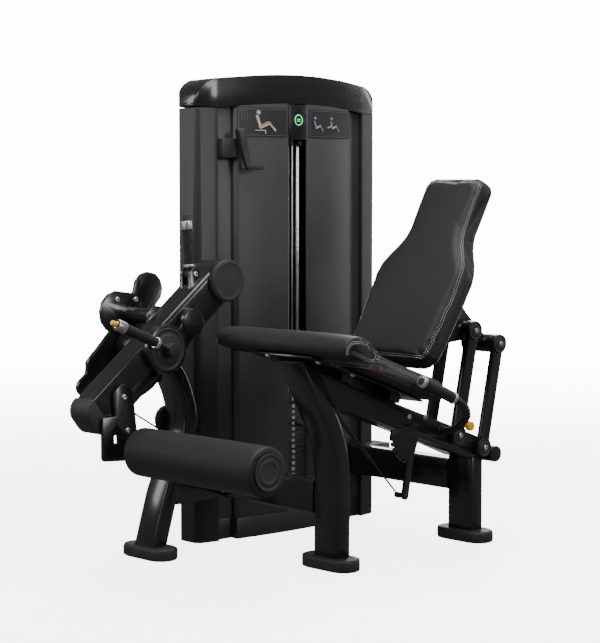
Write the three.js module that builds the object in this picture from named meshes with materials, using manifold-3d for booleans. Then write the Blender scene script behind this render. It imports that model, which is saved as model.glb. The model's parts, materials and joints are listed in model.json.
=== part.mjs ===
// Selectorised leg extension machine: an arched weight tower, a seat frame on three feet,
// a reclined seat with a four-bar backrest, and a swinging leg lever with a shin roller.
// Millimetres, +Z up. The user sits facing -X with the tower on the +Y side.
import * as THREE from 'three';
import { mergeVertices } from 'three/addons/utils/BufferGeometryUtils.js';
import Module from 'manifold-3d';

const wasm = await Module();
wasm.setup();

// ---- driving dimensions -------------------------------------------------------------

const gap = 0.3;
const tower = { width: 810, depth: 95, column: 80, sagitta: 42.6, seam: 1385, top: 1500, base: 68 };
const shroud = { left: 146, sheet: 4, slot: 81, recessY: -2, returnDepth: 7 };
const stack = { y: -12, width: 236, depth: 84, plate: 19, bottom: 156, resting: 10, lifted: 4, head: 30 };
const rod = { radius: 8, spacing: 23 };
const cable = { radius: 3, y: 12 };
const pulley = { radius: 44, groove: 38, half: 9, bore: 8.4, topZ: 1395 };
const seatY = -540;
const tube = { thin: 58, wide: 104, corner: 11 };
const foot = { width: 100, length: 208, height: 38 };
const beam = { bottom: 160, height: 100, width: 60 };
const pivot = { x: -268, z: 647, shaft: 20, boss: 58 };
const camRadius = 163;
const arm = { low: [-516, 478], high: [-53, 850], height: 116, front: -195, back: -106 };
const roller = { x: -439, z: 370, radius: 75, y0: -817, y1: -263, shaft: 12 };
const frontLegX = 54;
const rearPostX = 681;
const seatSlope = THREE.MathUtils.degToRad(19.7);
const seat = { front: [0, 610], length: 372, width: 420, thickness: 60 };
const linkA = { foot: [567, 355], top: [639, 683] };
const linkB = { foot: [687, 306], top: [759, 634] };
const link = { half: 50, thick: 17, boss: 31, waist: 21, bore: 14 };
const backPad = { foot: [290, 620], head: [613, 1160], thickness: 66 };
const crankPivot = [365, 388];
const gasTop = [48, 474];

// ---- colours ------------------------------------------------------------------------

const look = {
  frame: { color: 0x16171a, roughness: 0.3, metalness: 0.2 },
  shroud: { color: 0x3a3c3f, roughness: 0.5, metalness: 0.1 },
  vinyl: { color: 0x222325, roughness: 0.6, metalness: 0 },
  plastic: { color: 0x34353a, roughness: 0.6, metalness: 0 },
  rubber: { color: 0x1a1a1c, roughness: 0.8, metalness: 0 },
  chrome: { color: 0xc9ccd0, roughness: 0.15, metalness: 1 },
  iron: { color: 0x121315, roughness: 0.6, metalness: 0.3 },
  orange: { color: 0xf0a020, roughness: 0.4, metalness: 0 },
};

// ---- solids -------------------------------------------------------------------------

function toSolid(geometry) {
  const bare = geometry.index ? geometry.toNonIndexed() : geometry.clone();
  bare.deleteAttribute('normal');
  bare.deleteAttribute('uv');
  const merged = mergeVertices(bare, 1e-4);
  return new wasm.Manifold(new wasm.Mesh({
    numProp: 3,
    vertProperties: merged.attributes.position.array,
    triVerts: Uint32Array.from(merged.index.array),
  }));
}

function toGeometry(solid) {
  const mesh = solid.asOriginal().getMesh();
  const geometry = new THREE.BufferGeometry();
  geometry.setAttribute('position', new THREE.BufferAttribute(mesh.vertProperties.slice(), 3));
  geometry.setIndex(Array.from(mesh.triVerts));
  geometry.computeVertexNormals();
  return geometry;
}

function join(first, ...others) {
  return toGeometry(others.reduce((sum, next) => sum.add(toSolid(next)), toSolid(first)));
}

function cut(first, ...others) {
  return toGeometry(others.reduce((rest, next) => rest.subtract(toSolid(next)), toSolid(first)));
}

function common(first, second) {
  return toGeometry(toSolid(first).intersect(toSolid(second)));
}

function box(x0, x1, y0, y1, z0, z1) {
  const geometry = new THREE.BoxGeometry(x1 - x0, y1 - y0, z1 - z0);
  return geometry.translate((x0 + x1) / 2, (y0 + y1) / 2, (z0 + z1) / 2);
}

// Round bar along Y at a place in the XZ plane.
function barY([x, z], radius, y0, y1, sides = 24) {
  const geometry = new THREE.CylinderGeometry(radius, radius, y1 - y0, sides);
  return geometry.translate(x, (y0 + y1) / 2, z);
}

function barZ(x, y, radius, z0, z1, sides = 20) {
  const geometry = new THREE.CylinderGeometry(radius, radius, z1 - z0, sides);
  return geometry.rotateX(Math.PI / 2).translate(x, y, (z0 + z1) / 2);
}

// Round bar between two points, with the first radius at the first point.
function barBetween(from, to, radius, endRadius = radius, sides = 20) {
  const axis = to.clone().sub(from);
  const geometry = new THREE.CylinderGeometry(endRadius, radius, axis.length(), sides);
  const up = new THREE.Vector3(0, 1, 0);
  geometry.applyQuaternion(new THREE.Quaternion().setFromUnitVectors(up, axis.clone().normalize()));
  const middle = from.clone().add(to).multiplyScalar(0.5);
  return geometry.translate(middle.x, middle.y, middle.z);
}

function extrude(shape, depth, options = {}) {
  return new THREE.ExtrudeGeometry(shape, { depth, bevelEnabled: false, ...options });
}

// Plate whose outline lies in the XZ plane, between two Y planes.
function plateXZ(shape, y0, y1, options) {
  return extrude(shape, y1 - y0, options).rotateX(Math.PI / 2).translate(0, y1, 0);
}

// Prism whose outline lies in the YZ plane, between two X planes.
function prismX(shape, x0, x1, options) {
  const basis = new THREE.Matrix4().makeBasis(
    new THREE.Vector3(0, 1, 0), new THREE.Vector3(0, 0, 1), new THREE.Vector3(1, 0, 0));
  return extrude(shape, x1 - x0, options).applyMatrix4(basis).translate(x0, 0, 0);
}

function prismZ(shape, z0, z1, options) {
  return extrude(shape, z1 - z0, options).translate(0, 0, z0);
}

function outline(points) {
  return new THREE.Shape(points.map(([x, y]) => new THREE.Vector2(x, y)));
}

// Points on an arc, angles in radians anticlockwise from the first axis.
function arc([x, y], radius, from, to, steps) {
  return Array.from({ length: steps + 1 }, (_, i) => {
    const angle = from + (to - from) * i / steps;
    return [x + radius * Math.cos(angle), y + radius * Math.sin(angle)];
  });
}

function ringPoints(centre, radius, sides) {
  return arc(centre, radius, 0, Math.PI * 2 * (1 - 1 / sides), sides - 1);
}

function roundedRect(width, height, radius, x = 0, y = 0, steps = 3) {
  const a = width / 2 - radius;
  const b = height / 2 - radius;
  const quarter = Math.PI / 2;
  const corners = [[x + a, y - b], [x + a, y + b], [x - a, y + b], [x - a, y - b]];
  return outline(corners.flatMap((corner, i) => (
    arc(corner, radius, (i - 1) * quarter, i * quarter, steps))));
}

// Bar outline with round ends, whose sides run straight at half the waist's width.
function strap(first, r0, second, r1, waist = Math.min(r0, r1), steps = 8) {
  const along = Math.atan2(second[1] - first[1], second[0] - first[0]);
  const turn = Math.PI * 2;
  const a0 = Math.asin(Math.min(1, waist / r0));
  const a1 = Math.asin(Math.min(1, waist / r1));
  return outline([
    ...arc(first, r0, along + a0, along - a0 + turn, steps),
    ...arc(second, r1, along + Math.PI + a1, along + Math.PI - a1 + turn, steps),
  ]);
}

function hole(shape, x, y, radius, sides = 8) {
  shape.holes.push(new THREE.Path(outline(ringPoints([x, y], radius, sides)).getPoints()));
  return shape;
}

// Route through listed points, with one section at each of them.
class Route extends THREE.Curve {
  constructor(points) {
    super();
    this.points = points;
  }

  getUtoTmapping(u) {
    return u;
  }

  getPoint(t) {
    const place = t * (this.points.length - 1);
    const i = Math.min(Math.floor(place), this.points.length - 2);
    return this.points[i].clone().lerp(this.points[i + 1], place - i);
  }

  getTangent(t) {
    const last = this.points.length - 1;
    const i = Math.round(t * last);
    const here = this.points[i];
    const before = here.clone().sub(this.points[Math.max(i - 1, 0)]).normalize();
    const after = this.points[Math.min(i + 1, last)].clone().sub(here).normalize();
    return before.add(after).normalize();
  }
}

function sweep(section, points) {
  return extrude(section, 1, { extrudePath: new Route(points), steps: points.length - 1 });
}

function mirrorAboutSeat(geometry) {
  const mirrored = geometry.index ? geometry.toNonIndexed() : geometry.clone();
  mirrored.scale(1, -1, 1).translate(0, 2 * seatY, 0);
  const position = mirrored.attributes.position;
  for (let i = 0; i < position.count; i += 3) {
    const second = new THREE.Vector3().fromBufferAttribute(position, i + 1);
    const third = new THREE.Vector3().fromBufferAttribute(position, i + 2);
    position.setXYZ(i + 1, third.x, third.y, third.z);
    position.setXYZ(i + 2, second.x, second.y, second.z);
  }
  mirrored.computeVertexNormals();
  return mirrored;
}

const tubeSection = () => roundedRect(tube.wide, tube.thin, tube.corner);

const machine = new THREE.Group();

function add(name, geometry, finish) {
  const mesh = new THREE.Mesh(geometry, new THREE.MeshStandardMaterial(finish));
  mesh.name = name;
  machine.add(mesh);
}

// ---- weight tower -------------------------------------------------------------------

const half = tower.width / 2;
const arcRadius = (half * half + tower.sagitta * tower.sagitta) / (2 * tower.sagitta);

// Y of the bowed front at a given X; the rear bows the same way, mirrored.
function frontY(x, inset = 0) {
  const radius = arcRadius - inset;
  return arcRadius - tower.sagitta - Math.sqrt(radius * radius - (x - half) * (x - half));
}

function frontArc(x0, x1, inset = 0, steps = 8) {
  return Array.from({ length: steps + 1 }, (_, i) => {
    const x = x0 + (x1 - x0) * i / steps;
    return [x, frontY(x, inset)];
  });
}

const toRear = ([x, y]) => [x, tower.depth - y];

// Plan of the whole tower, bowed front and rear, with softened corners.
function towerPlan(x0, x1, inset = 0, corner = 14) {
  const front = frontArc(x0 + (x0 < 1 ? corner : 0), x1 - (x1 > tower.width - 1 ? corner : 0), inset, 12);
  const rear = front.map(toRear).reverse();
  const left = x0 < 1 ? [[x0, tower.depth - corner], [x0, corner]] : [];
  const right = x1 > tower.width - 1 ? [[x1, corner], [x1, tower.depth - corner]] : [];
  return outline([...front, ...right, ...rear, ...left]);
}

// Height of the arched seam under the cap.
function seamZ(x) {
  const rise = 22;
  const across = Math.min(1, Math.abs(x - half) / (half - tower.column));
  return tower.seam + rise * (1 - across * across);
}

function seamLine(x0, x1, offset, steps = 8) {
  return Array.from({ length: steps + 1 }, (_, i) => {
    const x = x0 + (x1 - x0) * i / steps;
    return [x, seamZ(x) + offset];
  });
}

function buildColumns() {
  const inner = tower.column;
  const slotZ = lowPulley[1] - pulley.groove - cable.radius;
  const slot = box(-1, inner + 1, cable.y - 9, cable.y + 9, slotZ - 14, slotZ + 14);
  const lug = box(inner - 1, basePulley[0] + 14, 24, 30, basePulley[1] - 20, basePulley[1] + 20);
  const axle = barY(basePulley, 8, cable.y - pulley.half, 26, 20);
  const left = cut(prismZ(towerPlan(0, inner), 0, tower.seam - gap), slot);
  add('left_column', join(left, lug, axle), look.frame);
  add('right_column', prismZ(towerPlan(tower.width - inner, tower.width), 0, tower.seam - gap), look.frame);
}

function buildCap() {
  const shoulder = 88;
  const shoulderTop = tower.top - 22;
  const face = new THREE.Shape();
  face.moveTo(0, tower.seam);
  face.absarc(shoulder, shoulderTop - shoulder, shoulder, Math.PI, Math.PI / 2, true);
  face.quadraticCurveTo(half, tower.top + 22, tower.width - shoulder, shoulderTop);
  face.absarc(tower.width - shoulder, shoulderTop - shoulder, shoulder, Math.PI / 2, 0, true);
  face.lineTo(tower.width, tower.seam);
  seamLine(tower.column, tower.width - tower.column, 0).reverse().forEach(([x, z]) => face.lineTo(x, z));
  const block = plateXZ(face, -60, tower.depth + 60);
  const shell = common(block, prismZ(towerPlan(0, tower.width), tower.seam - 1, tower.top + 30));
  const hollow = prismZ(towerPlan(tower.column + 6, tower.width - tower.column - 6, 8), 1300, 1456);
  add('top_cap', cut(shell, hollow), look.frame);
}

// One bent sheet: the recess beside the column, the return, the bowed face and the slot edge.
function buildFrontPanels() {
  const t = shroud.sheet;
  const slotEdge = half - shroud.slot / 2;
  const corner = 12;
  const outer = [
    [tower.column + gap, shroud.recessY], [shroud.left, shroud.recessY],
    [shroud.left, frontY(shroud.left) + corner],
    ...frontArc(shroud.left + corner, slotEdge - 4),
    [slotEdge, frontY(slotEdge) + 4], [slotEdge, frontY(slotEdge) + shroud.returnDepth],
  ];
  const inner = [
    [slotEdge - t, frontY(slotEdge) + shroud.returnDepth],
    [slotEdge - t, frontY(slotEdge, t) + 4],
    ...frontArc(shroud.left + corner, slotEdge - 8, t).reverse(),
    [shroud.left + t, frontY(shroud.left) + corner + t],
    [shroud.left + t, shroud.recessY + t], [tower.column + gap, shroud.recessY + t],
  ];
  const plan = [...outer, ...inner];
  const mirrored = plan.map(([x, y]) => [tower.width - x, y]).reverse();
  const face = outline([
    [tower.column, tower.base + gap], [tower.width - tower.column, tower.base + gap],
    ...seamLine(tower.column, tower.width - tower.column, -gap).reverse()]);
  const window = plateXZ(face, -60, 60);
  add('front_panel_left', common(prismZ(outline(plan), 0, 1450), window), look.shroud);
  add('front_panel_right', common(prismZ(outline(mirrored), 0, 1450), window), look.shroud);
}

function buildRearShroud() {
  const x0 = tower.column + gap;
  const x1 = tower.width - x0;
  const skin = frontArc(x0, x1).map(toRear);
  const inside = frontArc(x0, x1, shroud.sheet).map(toRear).reverse();
  const foot0 = tower.base + gap;
  const face = outline([[x0, foot0], [x1, foot0], ...seamLine(x0, x1, -gap).reverse()]);
  const window = plateXZ(face, tower.depth - 60, tower.depth + 60);
  add('rear_shroud', common(prismZ(outline([...skin, ...inside]), 0, 1450), window), look.shroud);
}

function buildTowerBase() {
  const x0 = tower.column + gap;
  const proud = 3;
  const front = frontArc(shroud.left, tower.width - shroud.left, -proud);
  const rear = frontArc(x0, tower.width - x0).map(toRear).reverse();
  const plan = outline([[x0, 3], [shroud.left, 3], ...front,
    [tower.width - shroud.left, 3], [tower.width - x0, 3], ...rear]);
  const rest = box(half - 100, half + 100, stack.y - 20, stack.y + 60, tower.base - 1, stack.bottom - gap);
  const wells = [-1, 1].map((side) =>
    barZ(half + side * rod.spacing, stack.y, rod.radius + 0.4, tower.base, stack.bottom + 1));
  const well = barZ(half, stack.y, 12, tower.base, stack.bottom + 1);
  add('tower_base', cut(join(prismZ(plan, 0, tower.base), rest), ...wells, well), look.iron);
}

function buildHeader() {
  const x0 = tower.column + gap;
  const x1 = tower.width - x0;
  const inset = shroud.sheet + 6;
  const bowed = frontArc(shroud.left + 20, tower.width - shroud.left - 20, inset);
  const plan = outline([[x0, 4], [shroud.left + 8, 4], ...bowed,
    [tower.width - shroud.left - 8, 4], [x1, 4], [x1, 70], [x0, 70]]);
  hole(plan, half, stack.y, 9);
  hole(plan, topLeftPulley[0] - pulley.groove - cable.radius, cable.y, 9);
  const plate = prismZ(plan, 1318, 1336);
  const lugs = [[topLeftPulley, cable.y], [topRightPulley, stack.y]].flatMap(([[x, z], y]) => [
    box(x - 16, x + 16, y + pulley.half + 2, y + pulley.half + 8, 1335, z + 16),
    barY([x, z], 8, y - pulley.half, y + pulley.half + 3, 20),
  ]);
  add('header_plate', join(plate, ...lugs), look.iron);
}

function buildGuideRods() {
  for (const [name, side] of [['guide_rod_left', -1], ['guide_rod_right', 1]]) {
    const x = half + side * rod.spacing;
    add(name, barZ(x, stack.y, rod.radius, tower.base + gap, 1318 - gap, 16), look.chrome);
  }
}

function buildCounter() {
  const x0 = half - shroud.slot / 2 + gap;
  const x1 = tower.width - x0;
  const plan = outline([...frontArc(x0, x1, -1.5, 6), ...frontArc(x0, x1, 8, 6).reverse()]);
  add('rep_counter', prismZ(plan, 1289, 1404), look.plastic);
}

// Swing-over arm that adds a half-step weight, hung from a block in the left recess.
function buildIncrement() {
  const block = box(tower.column + 1.5, shroud.left - 2, -34, shroud.recessY - gap, 1228, 1290);
  add('increment_block', block, look.rubber);
  const side = outline([[-70, 1196], [-60, 1192], [-38, 1270], [-38, 1316], [-52, 1322], [-60, 1310],
    [-60, 1262]]);
  const lean = 0.2;
  const sloped = new THREE.Matrix4().makeShear(0, 0, 0, 0, -lean, 0);
  const blade = prismX(side, 142, 168).applyMatrix4(sloped).translate(lean * 1262, 0, 0);
  const tab = box(158, 222, -74, -58, 1190, 1204);
  const pin = barBetween(new THREE.Vector3(143.6, -45, 1300), new THREE.Vector3(160, -45, 1300), 8);
  add('increment_arm', join(blade, tab, pin), look.rubber);
}

// ---- weight stack -------------------------------------------------------------------

const restingTop = stack.bottom + stack.resting * stack.plate;
const headBottom = restingTop + stack.lifted * stack.plate;
const singleResting = 2;

function platePlan() {
  const plan = roundedRect(stack.width, stack.depth, 8, half, stack.y + 20, 1);
  hole(plan, half, stack.y, 12);
  hole(plan, half - rod.spacing, stack.y, rod.radius + 1);
  hole(plan, half + rod.spacing, stack.y, rod.radius + 1);
  return plan;
}

function plateSolid(z0, z1) {
  return prismZ(platePlan(), z0 + gap / 2, z1 - gap / 2);
}

const pinZ = restingTop + stack.plate / 2;
const stackFront = stack.y + 20 - stack.depth / 2;

function buildStack() {
  const grooves = Array.from({ length: stack.resting - singleResting - 1 }, (_, i) => {
    const z = stack.bottom + (i + 1) * stack.plate;
    const ring = roundedRect(stack.width + 2, stack.depth + 2, 8, half, stack.y + 20, 1);
    const core = roundedRect(stack.width - 6, stack.depth - 6, 8, half, stack.y + 20, 1);
    ring.holes.push(new THREE.Path(core.getPoints()));
    return prismZ(ring, z - 0.6, z + 0.6);
  });
  const lowerTop = stack.bottom + (stack.resting - singleResting) * stack.plate;
  add('lower_plates', cut(plateSolid(stack.bottom, lowerTop), ...grooves), look.iron);
  for (let i = 0; i < singleResting; i += 1) {
    const z = lowerTop + i * stack.plate;
    add(`resting_plate_${i + 1}`, plateSolid(z, z + stack.plate), look.iron);
  }
  for (let i = 0; i < stack.lifted; i += 1) {
    const z = restingTop + i * stack.plate;
    const plate = plateSolid(z, z + stack.plate);
    const drilled = cut(plate, barY([half, pinZ], 5.4, stackFront - 5, stack.y + 20, 12));
    add(`lifted_plate_${i + 1}`, i === 0 ? drilled : plate, look.iron);
  }
}

function buildHeadPlate() {
  const plan = roundedRect(stack.width, stack.depth, 8, half, stack.y + 20, 1);
  hole(plan, half - rod.spacing, stack.y, rod.radius + 1);
  hole(plan, half + rod.spacing, stack.y, rod.radius + 1);
  const block = prismZ(plan, headBottom + gap, headBottom + stack.head);
  const selector = barZ(half, stack.y, 10, stack.bottom + 4, headBottom + 1, 16);
  const ferrule = barZ(half, stack.y, 9, headBottom + stack.head - 1, headBottom + stack.head + 26, 16);
  const socket = barY([half, pinZ], 5.4, stack.y - 20, stack.y + 20, 12);
  add('head_plate', join(cut(block, selector), cut(selector, socket), ferrule), look.iron);
}

function buildPin() {
  const shank = barY([half, pinZ], 5, stackFront - 10, stack.y + 16, 12);
  const grip = barY([half, pinZ], 11, stackFront - 34, stackFront - 8, 16);
  add('weight_pin', join(shank, grip), look.rubber);
}

// ---- cable and pulleys --------------------------------------------------------------

const lowPulley = [-112, 410];
const basePulley = [130, 410];
const topLeftPulley = [basePulley[0] + 2 * (pulley.groove + cable.radius), pulley.topZ];
const topRightPulley = [half - pulley.groove - cable.radius, pulley.topZ];

function wheel([x, z], y) {
  const { radius, groove, half: side, bore } = pulley;
  const profile = [[bore, -side], [radius, -side], [radius, -side + 2], [groove - 1, -cable.radius - 1],
    [groove - 1, cable.radius + 1], [radius, side - 2], [radius, side], [bore, side], [bore, -side]];
  const points = profile.map(([r, h]) => new THREE.Vector2(r, h));
  return new THREE.LatheGeometry(points, 14).translate(x, y, z);
}

// Points round a pulley from one angle to another, in degrees from +X towards +Z.
function wrap([x, z], y, from, to, radius = pulley.groove + cable.radius, steps = 4) {
  return Array.from({ length: steps + 1 }, (_, i) => {
    const angle = THREE.MathUtils.degToRad(from + (to - from) * i / steps);
    return new THREE.Vector3(x + radius * Math.cos(angle), y, z + radius * Math.sin(angle));
  });
}

// Angle of the line that touches the cam and the low pulley on their lower-left side.
function camTangent() {
  const dx = lowPulley[0] - pivot.x;
  const dz = lowPulley[1] - pivot.z;
  const spread = Math.acos((camRadius - pulley.groove) / Math.hypot(dx, dz));
  return THREE.MathUtils.radToDeg(Math.atan2(dz, dx) - spread);
}

function buildCable() {
  const tangent = camTangent();
  const onCam = camRadius + gap + cable.radius;
  const points = [
    ...wrap([pivot.x, pivot.z], cable.y, tangent - 14, tangent, onCam, 2),
    ...wrap(lowPulley, cable.y, tangent, -90),
    ...wrap(basePulley, cable.y, -90, 0),
    ...wrap(topLeftPulley, cable.y, 180, 90),
    ...wrap(topRightPulley, stack.y, 90, 4),
  ];
  add('cable_run', sweep(outline(ringPoints([0, 0], cable.radius, 6)), points), look.rubber);
  const top = pulley.topZ - 4;
  const bottom = headBottom + stack.head + 26 + gap;
  add('cable_stack', barZ(half, stack.y, cable.radius, bottom, top, 8), look.rubber);
}

function buildPulleys() {
  add('low_pulley', wheel(lowPulley, cable.y), look.plastic);
  add('base_pulley', wheel(basePulley, cable.y), look.plastic);
  add('top_pulley_left', wheel(topLeftPulley, cable.y), look.plastic);
  add('top_pulley_right', wheel(topRightPulley, stack.y), look.plastic);
}

// ---- seat frame ---------------------------------------------------------------------

function buildFeet() {
  const places = { side_foot: [-236, -55], front_foot: [frontLegX - 4, -556], rear_foot: [rearPostX, -534] };
  for (const [name, [x, y]] of Object.entries(places)) {
    const edge = 5;
    const plan = roundedRect(foot.width - 2 * edge, foot.length - 2 * edge, foot.width / 2 - edge, x, y);
    const options = { bevelEnabled: true, bevelSize: edge, bevelThickness: edge, bevelSegments: 1 };
    add(name, prismZ(plan, edge, foot.height - edge, options), look.plastic);
  }
}

// Curved leg beside the tower; its head carries the lever's pivot and its side the low pulley.
function buildSideLeg() {
  const y = -55;
  const places = [[-246, 0], [-228, 62], [-177, 225], [-120, 345], [-106, 412], [-120, 484], [-158, 566],
    [-226, 632]];
  const route = new THREE.CatmullRomCurve3(places.map(([x, z]) => new THREE.Vector3(x, y, z)));
  const section = roundedRect(100, 54, 11);
  const leg = cut(sweep(section, route.getPoints(12)), box(-400, 0, -200, 100, -60, foot.height + gap));
  const boss = barY([pivot.x, pivot.z], pivot.boss, y - 50, y + 50);
  const stub = box(-170, frontLegX - 32 - gap, y - 48, y + 42, beam.bottom, beam.bottom + beam.height);
  const axle = barY(lowPulley, 8, y + 48, cable.y + pulley.half + 1, 20);
  const bore = barY([pivot.x, pivot.z], pivot.shaft + gap, y - 60, y + 60);
  add('side_leg', cut(join(leg, boss, stub, axle), bore), look.frame);
}

function buildFrontLeg() {
  const y = -556;
  const kink = new THREE.Vector3(frontLegX + 2, y, 364);
  const foothold = new THREE.Vector3(frontLegX, y, foot.height + gap);
  const head = new THREE.Vector3(-102, y, 645);
  const below = kink.clone().lerp(foothold, 0.28);
  const above = kink.clone().lerp(head, 0.34);
  const bend = new THREE.QuadraticBezierCurve3(below, kink, above).getPoints(6);
  const panLine = outline([[-220, 674], [-38, 614], [40, 590], [40, 720], [-220, 720]]);
  const abovePan = plateXZ(panLine, y - 60, y + 60);
  add('front_leg', cut(sweep(tubeSection(), [foothold, ...bend, head]), abovePan), look.frame);
}

function buildRearPost() {
  const plan = roundedRect(tube.thin, tube.wide, tube.corner, rearPostX, -534);
  add('rear_post', prismZ(plan, foot.height + gap, 274), look.frame);
}

function buildBeams() {
  const middle = beam.bottom + beam.height / 2;
  const section = (x) => {
    const basis = new THREE.Matrix4().makeRotationX(Math.PI / 2);
    const shape = roundedRect(beam.width, beam.height, 11, x, middle);
    return (y0, y1) => extrude(shape, y1 - y0).applyMatrix4(basis).translate(0, y1, 0);
  };
  add('front_beam', section(frontLegX)(-556 + tube.wide / 2 + gap, frontY(30) - 12), look.frame);
  const beamTop = beam.bottom + beam.height;
  const arm = box(rearPostX - 20, tower.width - 22, -96, frontY(720) - 4, beam.bottom, beamTop);
  add('rear_beam', join(section(rearPostX)(-534 + tube.wide / 2 + gap, -40), arm), look.frame);
}

// ---- seat ---------------------------------------------------------------------------

const slopeCos = Math.cos(seatSlope);
const slopeSin = Math.sin(seatSlope);

// A place measured along the seat's base line and up from it, as X and Z.
function onSeat(along, up) {
  const [x, z] = seat.front;
  return [x + along * slopeCos + up * slopeSin, z - along * slopeSin + up * slopeCos];
}

function buildSeatBeam() {
  const top = -24;
  const deep = -98;
  const [bx, bz] = linkB.foot;
  const shape = outline([onSeat(-34, top), onSeat(600, top), [bx, bz + link.boss], [bx + link.boss, bz],
    [bx + 24, 276], [bx - 60, 276], onSeat(560, deep), onSeat(50, deep)]);
  const body = plateXZ(shape, seatY - 48, seatY + 48);
  const reach = link.half - gap;
  const axles = [linkA.foot, linkB.foot].map((place) => (
    barY(place, link.bore, seatY - reach - 10, seatY + reach + 10, 24)));
  const crankAxle = barY(crankPivot, 10, seatY - 62, seatY - 47, 20);
  const bumperStem = box(700, 742, seatY - 30, seatY + 30, 277, 296);
  const bumper = join(barY([744, 279], 26, seatY - 70, seatY + 70), bumperStem);
  const lugs = [-583.5, -558].map((y) => (
    box(gasTop[0] - 10, gasTop[0] + 12, y, y + 5.5, gasTop[1] - 12, gasTop[1] + 22)));
  add('seat_beam', join(body, ...axles, crankAxle, bumper, ...lugs), look.frame);
}

function buildSeatPan() {
  const sheet = 6;
  const lift = -gap - sheet;
  const rear = seat.length - 20;
  const section = outline([onSeat(-2, lift), onSeat(rear, lift), onSeat(rear, -gap), onSeat(-2, -gap),
    [-34, 621], [-138, 655], [-141, 649], [-38, 615]]);
  const tray = plateXZ(section, seatY - 130, seatY + 130);
  const ribs = [60, 280].map((along) => {
    const low = gap - 24;
    const end = along + 46;
    const rib = [onSeat(along, low), onSeat(end, low), onSeat(end, lift + 1), onSeat(along, lift + 1)];
    return plateXZ(outline(rib), seatY - 60, seatY + 60);
  });
  add('seat_pan', join(tray, ...ribs), look.frame);
}

const padBevel = { bevelEnabled: true, bevelSize: 12, bevelThickness: 12, bevelSegments: 2 };

// Roll-shaped cushion under the knees, across the front of the seat.
function buildThighPad() {
  const knots = [[-148, 668], [-150, 690], [-128, 710], [-92, 712], [-48, 694], [-20, 668], [-22, 646],
    [-44, 639], [-96, 655], [-132, 668]];
  const shape = new THREE.Shape(new THREE.CatmullRomCurve3(
    knots.map(([x, z]) => new THREE.Vector3(x, z, 0)), true).getPoints(30).slice(0, -1)
    .map((point) => new THREE.Vector2(point.x, point.y)).reverse());
  const reach = 281 - padBevel.bevelThickness;
  add('thigh_pad', plateXZ(shape, seatY - reach, seatY + reach, { ...padBevel, bevelSize: 7 }), look.vinyl);
}

function buildSeatPad() {
  const edge = padBevel.bevelSize;
  const plan = roundedRect(seat.length - 2 * edge, seat.width - 2 * edge, 34);
  const pad = extrude(plan, seat.thickness - 2 * edge, padBevel).translate(0, 0, edge);
  const [x, z] = onSeat(seat.length / 2 + 6, 0);
  pad.rotateY(seatSlope).translate(x, seatY, z);
  add('seat_pad', pad, look.vinyl);
}

// Side handle: a straight grip along the seat edge, then a tube down to the rear axle.
function handleSolid() {
  const side = seatY - 240;
  const places = [[200, side, 568], [217, side, 561], [341, side, 507], [392, side + 4, 482],
    [452, side + 40, 440], [486, side + 104, 398], [502, side + 158, 378], [502, seatY - 48 - gap, 378]];
  const corners = places.map((place) => new THREE.Vector3(...place));
  const route = new THREE.CatmullRomCurve3(corners, false, 'centripetal');
  const bar = sweep(outline(ringPoints([0, 0], 12, 8)), route.getPoints(16));
  const grip = barBetween(new THREE.Vector3(205, side, 566), new THREE.Vector3(341, side, 507), 17, 17, 20);
  const flange = barY([502, 378], 20, seatY - 54, seatY - 48 - gap);
  return cut(join(bar, grip, flange), box(450, 550, seatY - 48 - gap, seatY, 330, 430));
}

function buildHandles() {
  const near = handleSolid();
  add('side_handle_near', near, look.rubber);
  add('side_handle_far', mirrorAboutSeat(near), look.rubber);
}

// ---- backrest -----------------------------------------------------------------------

function rockerSolid({ foot: low, top }) {
  const plate = (y0, y1) => {
    const shape = strap(low, link.boss, top, link.boss, link.waist, 9);
    return plateXZ(hole(shape, ...low, link.bore + gap, 16), y0, y1);
  };
  const inner = link.half;
  const outer = link.half + link.thick;
  const shaft = barY(top, 16, seatY - inner - 1, seatY + inner + 1, 20);
  return join(plate(seatY - outer, seatY - inner), plate(seatY + inner, seatY + outer), shaft);
}

function buildRockers() {
  add('rocker_front', rockerSolid(linkA), look.frame);
  add('rocker_rear', rockerSolid(linkB), look.frame);
}

const backLean = Math.atan2(backPad.head[0] - backPad.foot[0], backPad.head[1] - backPad.foot[1]);

// A place measured up the backrest's rear face and out from it, as X and Z.
function onBack(along, out) {
  const behind = backPad.thickness + out;
  return [backPad.foot[0] + along * Math.sin(backLean) + behind * Math.cos(backLean),
    backPad.foot[1] + along * Math.cos(backLean) - behind * Math.sin(backLean)];
}

function buildBackBracket() {
  const [ax, az] = linkA.top;
  const [bx, bz] = linkB.top;
  const boss = 30;
  const shape = outline([onBack(60, 1), onBack(330, 1), onBack(330, 9), [ax + 4, az + boss + 22],
    [bx - 30, bz + boss - 2], [bx, bz], [ax, az - boss], onBack(60, 9)]);
  const web = plateXZ(shape, seatY - 30, seatY + 30);
  const bosses = [linkA.top, linkB.top].map((place) => (
    barY(place, boss, seatY - link.half + 2, seatY + link.half - 2)));
  const tray = plateXZ(outline([onBack(40, gap), onBack(400, gap), onBack(400, 7), onBack(40, 7)]),
    seatY - 90, seatY + 90);
  const bores = [linkA.top, linkB.top].map((place) => barY(place, 16 + gap, seatY - 70, seatY + 70, 24));
  add('back_bracket', cut(join(web, ...bosses, tray), ...bores), look.frame);
}

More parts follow.
